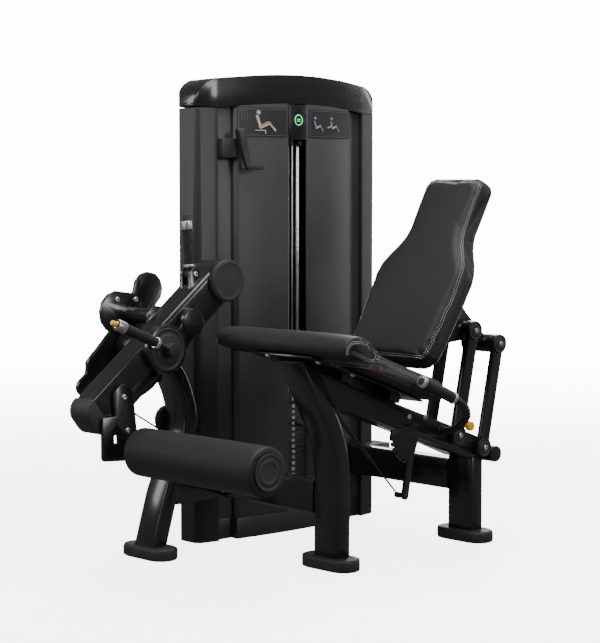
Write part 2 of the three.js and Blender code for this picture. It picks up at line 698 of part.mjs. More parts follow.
// Bottle-shaped cushion: wide at the small of the back, narrow between the shoulders.
function buildBackPad() {
  const length = Math.hypot(backPad.head[0] - backPad.foot[0], backPad.head[1] - backPad.foot[1]);
  const half = [[0, 140], [7, 158], [26, 176], [60, 182], [120, 186], [200, 191], [290, 192], [322, 186],
    [352, 172], [400, 145], [424, 135], [454, 129], [540, 129], [length - 22, 127], [length - 6, 116],
    [length, 98]];
  const edge = padBevel.bevelSize;
  const right = half.map(([along, side]) => [side - edge, along]);
  const left = half.map(([along, side]) => [edge - side, along]).reverse();
  const pad = extrude(outline([...right, ...left]), backPad.thickness - 2 * edge, padBevel);
  const basis = new THREE.Matrix4().makeBasis(
    new THREE.Vector3(0, -1, 0), new THREE.Vector3(Math.sin(backLean), 0, Math.cos(backLean)),
    new THREE.Vector3(-Math.cos(backLean), 0, Math.sin(backLean)));
  const [x, z] = onBack(0, -edge);
  add('back_pad', pad.applyMatrix4(basis).translate(x, seatY, z), look.vinyl);
}

// Pull knob on the near rocker that frees the backrest.
function buildPullKnob() {
  const place = [578, 374];
  const face = seatY - link.half - link.thick;
  const stem = barY([place[0] + 8, place[1] + 12], 7, face - 22, face - gap, 16);
  const cap = barY([place[0] + 8, place[1] + 12], 15, face - 36, face - 20, 24);
  add('pull_knob', join(stem, cap), look.orange);
}

// Notched fan under the seat with the arm that works against the gas spring.
const crankTip = [328, 190];
const crankY = [-597 - 5, -597 + 5];

function buildCrank() {
  const [x, z] = crankPivot;
  const notches = 7;
  const teeth = Array.from({ length: notches }, (_, i) => {
    const start = Math.PI + 0.1 + i * 0.2;
    const middle = start + 0.12;
    return [...arc(crankPivot, 102, start, middle, 2), ...arc(crankPivot, 92, middle, start + 0.2, 1)];
  });
  const fan = outline([[x + 18, z + 18], [x - 96, z + 10], ...teeth.flat(), [x + 18, z - 30]]);
  const arm = plateXZ(strap(crankPivot, 22, crankTip, 12), ...crankY);
  const bore = barY(crankPivot, 10 + gap, crankY[0] - 1, crankY[1] + 1, 20);
  const ball = barY(crankTip, 8, crankY[0] - 1, crankY[1] + 12, 16);
  add('crank', join(cut(join(plateXZ(fan, ...crankY), arm), bore), ball), look.frame);
}

function buildGasSpring() {
  const y = crankY[1] + 24;
  const top = new THREE.Vector3(gasTop[0], y, gasTop[1]);
  const tip = new THREE.Vector3(crankTip[0], y, crankTip[1]);
  const along = tip.clone().sub(top);
  const place = (share) => top.clone().addScaledVector(along, share);
  const barrel = barBetween(place(0.02), place(0.55), 6.5, 6.5, 12);
  const well = barBetween(place(0.15), place(0.56), 3.8, 3.8, 10);
  const eye = barY(gasTop, 11, y - 8, y + 8, 20);
  add('gas_body', cut(join(barrel, eye), well), look.rubber);
  const piston = barBetween(place(0.4), place(0.99), 3, 3, 8);
  const joint = barY(crankTip, 9, y - 8, y + 8, 16);
  add('gas_rod', join(piston, joint), look.chrome);
}

// ---- leg lever ----------------------------------------------------------------------

const armAngle = Math.atan2(arm.high[1] - arm.low[1], arm.high[0] - arm.low[0]);

// A place measured along the arm's axis from its low end and up from it, as X and Z.
function onArm(along, up) {
  return [arm.low[0] + along * Math.cos(armAngle) - up * Math.sin(armAngle),
    arm.low[1] + along * Math.sin(armAngle) + up * Math.cos(armAngle)];
}

const armLength = Math.hypot(arm.high[0] - arm.low[0], arm.high[1] - arm.low[1]);
const handleBBase = [-153, 872];
const crossTube = [-258, 745];

function buildMainArm() {
  const [x0, z0] = onArm(0, 0);
  const [x1, z1] = onArm(armLength, 0);
  const y = (arm.front + arm.back) / 2;
  const route = [new THREE.Vector3(x0, y, z0), new THREE.Vector3(x1, y, z1)];
  const bar = sweep(roundedRect(arm.back - arm.front, arm.height, 12), route);
  const head = barY(arm.high, 62, arm.front - 4, arm.back + 4);
  const hub = barY([pivot.x, pivot.z], 60, arm.front, arm.back);
  const lug = join(barY(crossTube, 34, arm.back - 14, arm.back),
    box(crossTube[0] - 34, crossTube[0] + 34, arm.back - 14, arm.back, crossTube[1] - 60, crossTube[1]));
  const ears = [[-176, -161], [-139, -124]].map(([a, b]) => join(barY(handleBBase, 19, a, b),
    box(handleBBase[0] - 19, handleBBase[0] + 19, a, b, handleBBase[1] - 52, handleBBase[1])));
  const bore = barY([pivot.x, pivot.z], pivot.shaft + gap, arm.front - 10, arm.back + 10);
  add('main_arm', cut(join(bar, head, hub, lug, ...ears), bore), look.frame);
}

function buildArmCap() {
  const radius = 44;
  const h = arm.height / 2 + 2;
  const nose = -52 + radius;
  const shape = outline([[-gap, -h], [-gap, h], ...arc([nose, h - radius], radius, Math.PI / 2, Math.PI, 6),
    ...arc([nose, radius - h], radius, Math.PI, Math.PI * 1.5, 6)]);
  const cap = plateXZ(shape, arm.front + 4, arm.back - 4,
    { bevelEnabled: true, bevelSize: 0, bevelThickness: 5, bevelSegments: 1 });
  cap.rotateY(-armAngle).translate(arm.low[0], 0, arm.low[1]);
  add('arm_cap', cap, look.plastic);
}

function buildEndDisc() {
  add('end_disc', barY(arm.high, 65, arm.front - 22, arm.front - 4 - gap, 32), look.plastic);
}

function buildPivotHub() {
  const disc = barY(handleA.base, 73, arm.front - 30, arm.front - gap, 32);
  const shaft = barY([pivot.x, pivot.z], pivot.shaft, arm.front - 1, 24, 24);
  const stop = barY([-200, 732], 40, arm.front - 30, arm.front - gap, 32);
  const web = plateXZ(strap([pivot.x, pivot.z], 40, [-200, 732], 30), arm.front - 24, arm.front - gap);
  add('pivot_hub', join(disc, shaft, web, stop), look.frame);
}

// Cable cam behind the leg, its balance arm, and the tube that ties both to the main arm.
function buildCam() {
  const y0 = 5;
  const y1 = 19;
  const { x, z } = pivot;
  const sector = outline([[x - 60, z + 60], ...arc([x, z], camRadius, Math.PI * 1.08, Math.PI * 1.78, 18)]);
  const head = strap([x - 38, z + 108], 66, [x - 4, z + 106], 62);
  const neck = strap([x - 38, z + 108], 50, [x, z], 70);
  const lobe = strap([x - 100, z - 60], 60, [x - 166, z - 112], 27);
  const balance = strap([x, z], 48, [x + 97, z + 172], 55);
  const parts = [...[sector, head, neck, lobe].map((shape) => plateXZ(shape, y0, y1)),
    plateXZ(balance, y1 + 6, y1 + 20), barY([x, z], 42, y1 - 1, y1 + 7),
    barY(crossTube, 24, arm.back + gap, y0 + 1, 24)];
  const bore = barY([x, z], pivot.shaft + gap, y0 - 1, y1 + 30);
  add('cam_plate', cut(join(...parts), bore), look.frame);
}

// Lever with a rubber grip between two collars, from its base towards its tip.
function gripLever(base, tip, y, radius, low = 0.24) {
  const from = new THREE.Vector3(base[0], y, base[1]);
  const to = new THREE.Vector3(tip[0], y, tip[1]);
  const place = (share) => from.clone().lerp(to, share);
  return [
    barBetween(from, place(low + 0.06), 9, 9, 10),
    barBetween(place(low), place(low + 0.04), radius + 2, radius + 2, 14),
    barBetween(place(low + 0.04), place(0.78), radius - 1, radius, 14),
    barBetween(place(0.78), place(0.93), radius + 1.5, radius + 1.5, 14),
  ];
}

const handleA = { base: [-303, 656], tip: [-526, 749], y: -245 };
const handleB = { tip: [-166, 1047], y: -150 };

function buildLeverHandles() {
  const boss = barY(handleA.base, 20, handleA.y - 14, arm.front - 30 - gap, 24);
  const lever = gripLever(handleA.base, handleA.tip, handleA.y, 15);
  const from = new THREE.Vector3(handleA.base[0], handleA.y, handleA.base[1]);
  const to = new THREE.Vector3(handleA.tip[0], handleA.y, handleA.tip[1]);
  const well = barBetween(from.clone().lerp(to, 0.89), to, 11, 11, 12);
  add('range_handle', cut(join(boss, ...lever), well), look.rubber);
  const button = barBetween(from.clone().lerp(to, 0.925), to, 8.5, 7.5, 14);
  add('range_button', button, look.orange);
  const stub = barY(handleBBase, 16, -161 + gap, -139 - gap, 24);
  const upright = gripLever(handleBBase, handleB.tip, handleB.y, 15, 0.13);
  const knobEnds = [0.92, 1.03].map((share) => new THREE.Vector3(
    THREE.MathUtils.lerp(handleBBase[0], handleB.tip[0], share), handleB.y,
    THREE.MathUtils.lerp(handleBBase[1], handleB.tip[1], share)));
  const tipKnob = barBetween(...knobEnds, 12, 10, 14);
  add('start_handle', join(stub, ...upright, tipKnob), look.rubber);
}

function buildRollerLink() {
  const y0 = arm.front - 15;
  const y1 = arm.front - 3;
  const flange = outline([[-534, 350], [-528, 342], [-420, 335], [-402, 345], [-402, 400], [-440, 470],
    [-534, 470]]);
  const window = outline([[-492, 392], [-468, 392], [-468, 416], [-492, 416]]);
  flange.holes.push(new THREE.Path(window.getPoints()));
  const bar = strap([-456, 525], 36, [-438, 372], 36);
  const shaft = barY([roller.x, roller.z], roller.shaft, roller.y0 + 14, y1 - 2, 24);
  add('roller_link', join(plateXZ(flange, y0, y1), plateXZ(bar, y0, y1), shaft), look.frame);
}

function buildRoller() {
  const { radius, shaft } = roller;
  const y0 = roller.y0;
  const y1 = roller.y1;
  const round = 16;
  const quarter = Math.PI / 2;
  const profile = [[0, y0], ...arc([radius - round, y0 + round], round, -quarter, 0, 2),
    ...arc([radius - round, y1 - round], round, 0, quarter, 2),
    [shaft + gap, y1], [shaft + gap, y0 + 13], [0, y0 + 13]];
  const geometry = new THREE.LatheGeometry(profile.map(([r, y]) => new THREE.Vector2(r, y)), 24);
  add('roller_pad', geometry.translate(roller.x, 0, roller.z), look.vinyl);
}

// ---- assembly -----------------------------------------------------------------------

buildColumns();
buildCap();
buildFrontPanels();
buildRearShroud();
buildTowerBase();
buildHeader();
buildGuideRods();
buildCounter();
buildIncrement();
buildStack();
buildHeadPlate();
buildPin();
buildCable();
buildPulleys();
buildFeet();
buildSideLeg();
buildFrontLeg();
buildRearPost();
buildBeams();
buildSeatBeam();
buildSeatPan();
buildThighPad();
buildSeatPad();
buildHandles();
buildRockers();
buildBackBracket();
buildBackPad();
buildPullKnob();
buildCrank();
buildGasSpring();
buildMainArm();
buildArmCap();
buildEndDisc();
buildPivotHub();
buildCam();
buildLeverHandles();
buildRollerLink();
buildRoller();

// The origin is the middle of the footprint, on the floor.
machine.updateMatrixWorld(true);
const bounds = new THREE.Box3().setFromObject(machine, true);
const centre = bounds.getCenter(new THREE.Vector3());
machine.position.set(-centre.x, -centre.y, -bounds.min.z);

export default machine;
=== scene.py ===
import json
import math

import bpy
from mathutils import Matrix, Vector
from mathutils.kdtree import KDTree


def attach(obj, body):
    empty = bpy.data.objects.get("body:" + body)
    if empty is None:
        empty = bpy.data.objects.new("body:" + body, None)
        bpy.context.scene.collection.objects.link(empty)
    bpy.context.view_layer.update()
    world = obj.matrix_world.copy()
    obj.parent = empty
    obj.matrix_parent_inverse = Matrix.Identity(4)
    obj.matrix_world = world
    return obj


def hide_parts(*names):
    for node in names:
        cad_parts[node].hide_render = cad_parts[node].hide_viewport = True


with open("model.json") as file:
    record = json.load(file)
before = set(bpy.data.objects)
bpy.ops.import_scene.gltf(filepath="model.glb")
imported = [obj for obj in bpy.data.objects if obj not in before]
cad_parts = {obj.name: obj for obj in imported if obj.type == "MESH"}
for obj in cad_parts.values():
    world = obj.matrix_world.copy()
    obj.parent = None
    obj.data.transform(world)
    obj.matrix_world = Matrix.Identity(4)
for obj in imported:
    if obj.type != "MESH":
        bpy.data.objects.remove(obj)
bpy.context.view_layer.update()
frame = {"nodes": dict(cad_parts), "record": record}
print("frame loaded")

scene = bpy.context.scene
joints = {joint["name"]: joint for joint in frame["record"]["behaviour"]["joints"]}
lever = Vector(joints["leg_lever"]["pos_m"])
drawingZero = lever - Vector((-0.268, -0.150, 0.647))  # the corner that the machine's drawing measures from


def at(x, y, z):  # drawing millimetres to metres in the frame
    return drawingZero + Vector((x, y, z)) / 1000


# camera

view = {"place": (-3722.81, -4378.07, 1137.04), "turn": -43.646, "tilt": 4.24, "lens": 101.86, "sensor": 36}

cameraData = bpy.data.cameras.new("camera")
cameraData.lens = view["lens"]
cameraData.sensor_width = view["sensor"]
cameraData.clip_end = 60
camera = bpy.data.objects.new("camera", cameraData)
scene.collection.objects.link(camera)
camera.location = at(*view["place"])
camera.rotation_euler = (math.radians(90 - view["tilt"]), 0, math.radians(view["turn"]))
scene.camera = camera

# shader writing


class Value:  # a socket that takes part in sums
    def __init__(self, net, socket):
        self.net = net
        self.socket = socket

    def __add__(self, other):
        return self.net.sum("ADD", self, other)

    def __radd__(self, other):
        return self.net.sum("ADD", other, self)

    def __sub__(self, other):
        return self.net.sum("SUBTRACT", self, other)

    def __rsub__(self, other):
        return self.net.sum("SUBTRACT", other, self)

    def __mul__(self, other):
        return self.net.sum("MULTIPLY", self, other)

    def __rmul__(self, other):
        return self.net.sum("MULTIPLY", other, self)


class Net:  # one material and its nodes
    def __init__(self, name):
        self.material = bpy.data.materials.new(name)
        self.material.use_nodes = True
        self.nodes = self.material.node_tree.nodes
        self.links = self.material.node_tree.links
        self.nodes.clear()
        self.shader = self.nodes.new("ShaderNodeBsdfPrincipled")
        self.output = self.nodes.new("ShaderNodeOutputMaterial")
        self.links.new(self.shader.outputs[0], self.output.inputs[0])
        self.place = self.node("ShaderNodeTexCoord", out="Object")

    def plug(self, socket, value):
        if isinstance(value, Value):
            self.links.new(value.socket, socket)
        else:
            socket.default_value = value

    def node(self, kind, settings=None, inputs=None, out=0, stops=None):
        node = self.nodes.new(kind)
        for key, value in (settings or {}).items():
            setattr(node, key, value)
        for stop in (stops or [])[2:]:
            node.color_ramp.elements.new(stop[0])
        for element, stop in zip(node.color_ramp.elements if stops else [], stops or []):
            element.position = stop[0]
            element.color = (*stop[1], 1)
        for key, value in (inputs or {}).items():
            self.plug(node.inputs[key], value)
        return Value(self, node.outputs[out])

    def sum(self, operation, first, second):
        return self.node("ShaderNodeMath", {"operation": operation}, {0: first, 1: second})

    def smooth(self, value, low, high):
        inputs = {"Value": value, "From Min": low, "From Max": high}
        return self.node("ShaderNodeMapRange", {"interpolation_type": "SMOOTHSTEP"}, inputs)

    def stretched(self, scale):
        return self.node("ShaderNodeMapping", None, {"Vector": self.place, "Scale": scale})

    def noise(self, scale, detail=3, rough=0.5, place=None):
        inputs = {"Vector": place or self.place, "Scale": scale, "Detail": detail, "Roughness": rough}
        return self.node("ShaderNodeTexNoise", None, inputs, "Fac")

    def cells(self, scale, feature):
        inputs = {"Vector": self.place, "Scale": scale}
        return self.node("ShaderNodeTexVoronoi", {"feature": feature}, inputs, "Distance")

    def blend(self, low, high, amount):
        low = low if isinstance(low, Value) else (*low, 1)
        high = high if isinstance(high, Value) else (*high, 1)
        return self.node("ShaderNodeMix", {"data_type": "RGBA"}, {0: amount, 6: low, 7: high}, 2)

    def bump(self, height, strength, distance, normal=None):
        inputs = {"Height": height, "Strength": strength, "Distance": distance}
        if normal:
            inputs["Normal"] = normal
        return self.node("ShaderNodeBump", None, inputs)

    def edges(self, radius):  # how far a point lies on a rounded edge, and the rounded normal
        rounded = self.node("ShaderNodeBevel", {"samples": 6}, {"Radius": radius})
        true = self.node("ShaderNodeNewGeometry", out="Normal")
        facing = {0: rounded, 1: true}
        along = self.node("ShaderNodeVectorMath", {"operation": "DOT_PRODUCT"}, facing, "Value")
        return 1 - along, rounded

    def finish(self, color, roughness, normal=None, **fixed):
        self.plug(self.shader.inputs["Base Color"], color if isinstance(color, Value) else (*color, 1))
        self.plug(self.shader.inputs["Roughness"], roughness)
        if normal:
            self.plug(self.shader.inputs["Normal"], normal)
        for key, value in fixed.items():
            self.shader.inputs[key.replace("_", " ")].default_value = value
        return self.material


paint = {
    "dark": (0.0055, 0.0056, 0.006),
    "light": (0.011, 0.0112, 0.012),
    # lighter edge tone: edge wear and a painted highlight along the edges
    "edgeWearAndHighlight": (0.035, 0.035, 0.036),
    "edge": 0.0016,
}
columnPaint = {"dark": (0.0065, 0.0067, 0.0071), "light": (0.012, 0.0122, 0.013), "edge": 0.0025}
smoke = {"dark": (0.017, 0.0174, 0.0183), "light": (0.031, 0.0315, 0.0328)}


def powderCoat():
    net = Net("gloss_black_coat")
    cloud = net.noise(7, 4)
    peel = net.noise(900, 2, 0.6)
    # wear is the rounded-edge mask; it lightens the edges as edge wear and as a painted highlight
    wear, rounded = net.edges(paint["edge"])
    edgeWearAndHighlightMask = net.smooth(wear * (0.6 + net.noise(60, 3)), 0.02, 0.35)
    color = net.blend(net.blend(paint["dark"], paint["light"], cloud), paint["edgeWearAndHighlight"], edgeWearAndHighlightMask * 0.35)
    rough = 0.17 + 0.12 * net.noise(24, 5) + 0.1 * edgeWearAndHighlightMask
    normal = net.bump(peel, 0.01, 0.0002, rounded)
    return net.finish(color, rough, normal, Coat_Weight=0.4, Coat_Roughness=0.13, Specular_IOR_Level=0.4)


def columnSatin():  # the columns are a touch duller than the frame
    net = Net("column_satin")
    cloud = net.noise(3, 4, 0.5)
    fine = net.noise(500, 2, 0.5)
    # the edge mask lightens the column corners: edge wear and a painted highlight strip
    wear, rounded = net.edges(columnPaint["edge"])
    edgeWearAndHighlightMask = net.smooth(wear, 0.02, 0.4)
    color = net.blend(net.blend(columnPaint["dark"], columnPaint["light"], cloud), paint["edgeWearAndHighlight"], edgeWearAndHighlightMask * 0.5)
    normal = net.bump(fine, 0.01, 0.0002, rounded)
    fixed = {"Coat_Weight": 0.08, "Coat_Roughness": 0.2, "Specular_IOR_Level": 0.42}
    return net.finish(color, 0.4 + 0.1 * cloud, normal, **fixed)


def smokeSheet():
    net = Net("smoke_sheet")
    cloud = net.noise(2.2, 3, 0.4)
    brushed = net.noise(60, 3, 0.6, net.stretched((1, 1, 0.03)))
    speck = net.noise(1500, 2, 0.5)
    color = net.blend(smoke["dark"], smoke["light"], net.smooth(cloud + 0.18 * brushed, 0.35, 0.85))
    rough = 0.3 + 0.12 * brushed + 0.06 * cloud
    normal = net.bump(speck + 0.5 * brushed, 0.08, 0.0003)
    return net.finish(color, rough + 0.08, normal, Coat_Weight=0.08, Coat_Roughness=0.3)


def vinyl(name, tone):
    net = Net(name)
    grain = net.cells(620, "DISTANCE_TO_EDGE")
    fine = net.noise(1300, 3, 0.6)
    cloud = net.noise(9, 4, 0.55)
    crease = net.smooth(net.noise(34, 5, 0.62), 0.46, 0.64)
    dark = tuple(part * 0.72 for part in tone)
    light = tuple(part * 1.3 for part in tone)
    pits = net.smooth(grain, 0.0, 0.16)
    color = net.blend(dark, light, cloud * 0.7 + pits * 0.3)
    rough = 0.5 + 0.14 * cloud - 0.1 * pits
    first = net.bump(crease, 0.16, 0.0012)
    normal = net.bump(pits + 0.35 * fine, 0.5, 0.00035, first)
    return net.finish(color, rough, normal, Sheen_Weight=0.02, Sheen_Roughness=0.4, Specular_IOR_Level=0.3)


def moulded(name, tone, rough=0.52, scale=1100, strength=0.35):
    net = Net(name)
    grain = net.noise(scale, 3, 0.65)
    cloud = net.noise(13, 4, 0.5)
    # the edge mask lightens the moulded edges towards pale: edge wear and a painted highlight
    wear, rounded = net.edges(0.0012)
    edgeWearAndHighlightMask = net.smooth(wear, 0.03, 0.4)
    light = tuple(part * 1.35 for part in tone)
    pale = tuple(part * 2.2 for part in tone)
    color = net.blend(net.blend(tone, light, cloud), pale, edgeWearAndHighlightMask * 0.4)
    normal = net.bump(grain, strength, 0.0003, rounded)
    return net.finish(color, rough + 0.12 * cloud + 0.06 * grain, normal)


def metal(name, tone, rough, stretch=(1, 1, 1), wear=0.2):
    net = Net(name)
    lines = net.noise(240, 4, 0.6, net.stretched(stretch))
    cloud = net.noise(18, 3)
    dull = tuple(part * 0.7 for part in tone)
    color = net.blend(tone, dull, cloud * wear + lines * wear)
    normal = net.bump(lines, 0.05, 0.0002)
    return net.finish(color, rough + 0.1 * lines + 0.08 * cloud, normal, Metallic=1.0)


def enamel(name, tone, rough=0.36):
    net = Net(name)
    cast = net.noise(260, 4, 0.6)
    cloud = net.noise(16, 4)
    # the edge mask lightens the plate edges: edge wear and a painted highlight
    wear, rounded = net.edges(0.0009)
    edgeWearAndHighlightMask = net.smooth(wear * (0.5 + cast), 0.02, 0.3)
    light = tuple(part * 1.5 for part in tone)
    color = net.blend(net.blend(tone, light, cloud), (0.06, 0.06, 0.062), edgeWearAndHighlightMask * 0.6)
    normal = net.bump(cast, 0.22, 0.0004, rounded)
    return net.finish(color, rough + 0.16 * cloud, normal)


def printed(name, tone, glow=0.0):
    net = Net(name)
    cloud = net.noise(40, 3)
    light = tuple(min(1, part * 1.18) for part in tone)
    color = net.blend(tone, light, cloud)
    fixed = {"Emission_Strength": glow, "Emission_Color": (*tone, 1)} if glow else {}
    rough = 0.34 + 0.12 * net.noise(300, 2)
    return net.finish(color, rough, net.bump(net.noise(800, 2), 0.05, 0.0001), **fixed)


coat = powderCoat()
sheet = smokeSheet()
column = columnSatin()
cover = vinyl("charcoal_vinyl", (0.0085, 0.0087, 0.0092))
seatCover = vinyl("seat_vinyl", (0.0105, 0.0107, 0.0112))
plastic = moulded("dark_plastic", (0.011, 0.0112, 0.012))
rubber = moulded("grip_rubber", (0.006, 0.006, 0.0063), 0.6, 700, 0.5)
footRubber = moulded("foot_plastic", (0.009, 0.009, 0.0095), 0.5, 900, 0.4)
gloss = moulded("counter_plastic", (0.006, 0.006, 0.007), 0.16, 400, 0.05)
chrome = metal("chrome_rod", (0.78, 0.79, 0.8), 0.07, (1, 1, 0.1), 0.1)
satin = metal("satin_steel", (0.62, 0.62, 0.62), 0.24, (1, 1, 1), 0.25)
boltSteel = metal("bolt_steel", (0.55, 0.55, 0.56), 0.2, (1, 1, 1), 0.3)
iron = enamel("black_enamel", (0.012, 0.012, 0.013))
cableSkin = moulded("cable_skin", (0.02, 0.02, 0.021), 0.42, 600, 0.3)
orange = moulded("orange_plastic", (0.72, 0.3, 0.02), 0.34, 900, 0.1)
thread = printed("thread", (0.5, 0.5, 0.51))
redPiping = printed("red_piping", (0.2, 0.014, 0.014))
placardFace = printed("placard_face", (0.01, 0.01, 0.011))
paleInk = printed("pale_ink", (0.5, 0.5, 0.5))
rimInk = printed("rim_ink", (0.09, 0.09, 0.095))
greyInk = printed("grey_ink", (0.3, 0.33, 0.42))
orangeInk = printed("orange_ink", (0.75, 0.24, 0.03))
greenLight = printed("green_light", (0.12, 0.75, 0.25), 0.9)
print("materials made")

# modelling


def clearSelection():
    if bpy.context.object and bpy.context.object.mode != "OBJECT":
        bpy.ops.object.mode_set(mode="OBJECT")
    bpy.ops.object.select_all(action="DESELECT")


def only(piece):
    clearSelection()
    piece.select_set(True)
    bpy.context.view_layer.objects.active = piece


def editAll(piece):
    only(piece)
    bpy.ops.object.mode_set(mode="EDIT")
    bpy.ops.mesh.select_all(action="SELECT")


def editFaces(piece, test):  # opens a piece with the faces selected that pass a test on centre and normal
    only(piece)
    bpy.ops.object.mode_set(mode="EDIT")
    bpy.ops.mesh.select_mode(type="FACE")
    bpy.ops.mesh.select_all(action="DESELECT")
    bpy.ops.object.mode_set(mode="OBJECT")
    turn = piece.matrix_world.to_3x3()
    for face in piece.data.polygons:
        face.select = test(piece.matrix_world @ face.center, turn @ face.normal)
    bpy.ops.object.mode_set(mode="EDIT")


def objectMode():
    bpy.ops.object.mode_set(mode="OBJECT")


def modify(piece, kind, **settings):
    only(piece)
    modifier = piece.modifiers.new(kind.lower(), kind)
    for key, value in settings.items():
        setattr(modifier, key, value)
    bpy.ops.object.modifier_apply(modifier=modifier.name)


def smooth(piece, angle=38):
    only(piece)
    bpy.ops.object.shade_smooth_by_angle(angle=math.radians(angle))


def bring(piece):
    only(piece)
    bpy.ops.object.transform_apply(location=True, rotation=True, scale=True)


def joined(pieces):
    clearSelection()
    for piece in pieces:
        piece.select_set(True)
    bpy.context.view_layer.objects.active = pieces[0]
    bpy.ops.object.join()
    return pieces[0]


def settle(piece, name, body, material=None, nodes=()):
    bring(piece)
    piece.name = name
    piece.data.name = name
    if material:
        piece.data.materials.clear()
        piece.data.materials.append(material)
    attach(piece, body)
    if nodes:
        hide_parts(*nodes)
    return piece


def towards(axis):
    return Vector(axis).normalized().to_track_quat("Z", "Y").to_euler()


def cylinder(place, axis, radius, depth, sides=48):  # place is the middle, in metres
    clearSelection()
    bpy.ops.mesh.primitive_cylinder_add(vertices=sides, radius=radius, depth=depth, location=place,
                                        rotation=towards(axis))
    return bpy.context.object


def block(low, high):
    clearSelection()
    bpy.ops.mesh.primitive_cube_add(size=1, location=(low + high) / 2)
    piece = bpy.context.object
    piece.scale = high - low
    bring(piece)
    return piece


# A round cap standing on a face: steps are (inset, rise) pairs worked on its outer face.
def turnedCap(place, axis, radius, height, steps, bevel=0.0012, sides=40):
    axis = Vector(axis).normalized()
    piece = cylinder(place + axis * height / 2, axis, radius, height, sides)
    editFaces(piece, lambda centre, normal: normal.dot(axis) > 0.9)
    for inset, rise in steps:
        bpy.ops.mesh.inset(thickness=inset, use_even_offset=True)
        bpy.ops.transform.translate(value=axis * rise)
    objectMode()
    bring(piece)
    modify(piece, "BEVEL", width=bevel, segments=2, limit_method="ANGLE", angle_limit=math.radians(35))
    smooth(piece)
    return piece


def socketBolt(place, axis, radius=0.0085):
    steps = [(radius * 0.3, radius * 0.22), (radius * 0.22, 0), (0.00005, -radius * 0.5)]
    return turnedCap(place, axis, radius, radius * 0.45, steps, 0.0006, 18)


def bodyOf(node):
    for name, nodes in frame["record"]["behaviour"]["bodies"].items():
        if node in nodes:
            return name


def cleanCopy(node):  # a merged copy of a CAD solid, with flat faces whole again
    source = frame["nodes"][node]
    piece = source.copy()
    piece.data = source.data.copy()
    piece.parent = None
    piece.matrix_world = Matrix()
    scene.collection.objects.link(piece)
    for key in list(piece.keys()):
        del piece[key]
    only(piece)
    if piece.data.has_custom_normals:
        bpy.ops.mesh.customdata_custom_splitnormals_clear()
    editAll(piece)
    bpy.ops.mesh.remove_doubles(threshold=0.00002)
    bpy.ops.mesh.dissolve_limited(angle_limit=math.radians(1.5))
    objectMode()
    return piece


# Metal and plastic parts whose solid is right: width of the softened edges in metres
softened = {
    column: {"left_column": 0.003, "right_column": 0.003},
    coat: {"top_cap": 0.004, "side_leg": 0.002, "front_leg": 0.002,
           "rear_post": 0.002, "front_beam": 0.002, "rear_beam": 0.003, "seat_beam": 0.003,
           "seat_pan": 0.0015,
           "rocker_front": 0.003, "rocker_rear": 0.003, "back_bracket": 0.0025, "crank": 0.001,
           "main_arm": 0.003, "pivot_hub": 0.004, "cam_plate": 0.003, "roller_link": 0.0025},
    sheet: {"front_panel_left": 0.001, "front_panel_right": 0.001, "rear_shroud": 0.001},
    plastic: {"low_pulley": 0.0008, "base_pulley": 0.0008,
              "top_pulley_left": 0.0008, "top_pulley_right": 0.0008,
              "arm_cap": 0.004, "end_disc": 0.004, "increment_block": 0.003},
    footRubber: {"side_foot": 0.003, "front_foot": 0.003, "rear_foot": 0.003},
    gloss: {"rep_counter": 0.002},
    rubber: {"increment_arm": 0.003, "weight_pin": 0.002, "side_handle_near": 0.002, "side_handle_far": 0.002,
             "range_handle": 0.002, "start_handle": 0.002, "gas_body": 0.001, "gas_rod": 0.0004},
    cableSkin: {"cable_run": 0.0},
    satin: {"cable_stack": 0.0},
    chrome: {"guide_rod_left": 0.0005, "guide_rod_right": 0.0005},
    iron: {"tower_base": 0.003, "header_plate": 0.001, "lower_plates": 0.0006, "resting_plate_1": 0.0015,
           "resting_plate_2": 0.0015, "lifted_plate_1": 0.0015, "lifted_plate_2": 0.0015,
           "lifted_plate_3": 0.0015, "lifted_plate_4": 0.0015, "head_plate": 0.002},
    orange: {"pull_knob": 0.003, "range_button": 0.001},
}

for material, widths in softened.items():
    for node, width in widths.items():
        part = cleanCopy(node)
        if width:
            modify(part, "BEVEL", width=width, segments=2, limit_method="ANGLE", angle_limit=math.radians(40))
        smooth(part, 36)
        settle(part, node + "_body", bodyOf(node), material, [node])
print("frame parts softened")

# cushions

seatSlope = math.radians(19.7)
backFoot, backHead = (290, 620), (613, 1160)
backLean = math.atan2(backHead[0] - backFoot[0], backHead[1] - backFoot[1])


def onSeat(along, up, y):
    x = along * math.cos(seatSlope) + up * math.sin(seatSlope)
    return at(x, y, 610 - along * math.sin(seatSlope) + up * math.cos(seatSlope))


def onBack(along, side, behind=0):
    x = backFoot[0] + along * math.sin(backLean) + behind * math.cos(backLean)
    return at(x, -540 + side, backFoot[1] + along * math.cos(backLean) - behind * math.sin(backLean))


swelling = {"pressure": 4, "frames": 20, "smoothing": 4}
sewing = {"pitch": 0.0075, "length": 0.0054, "thick": 0.0014, "sunk": 0.3}


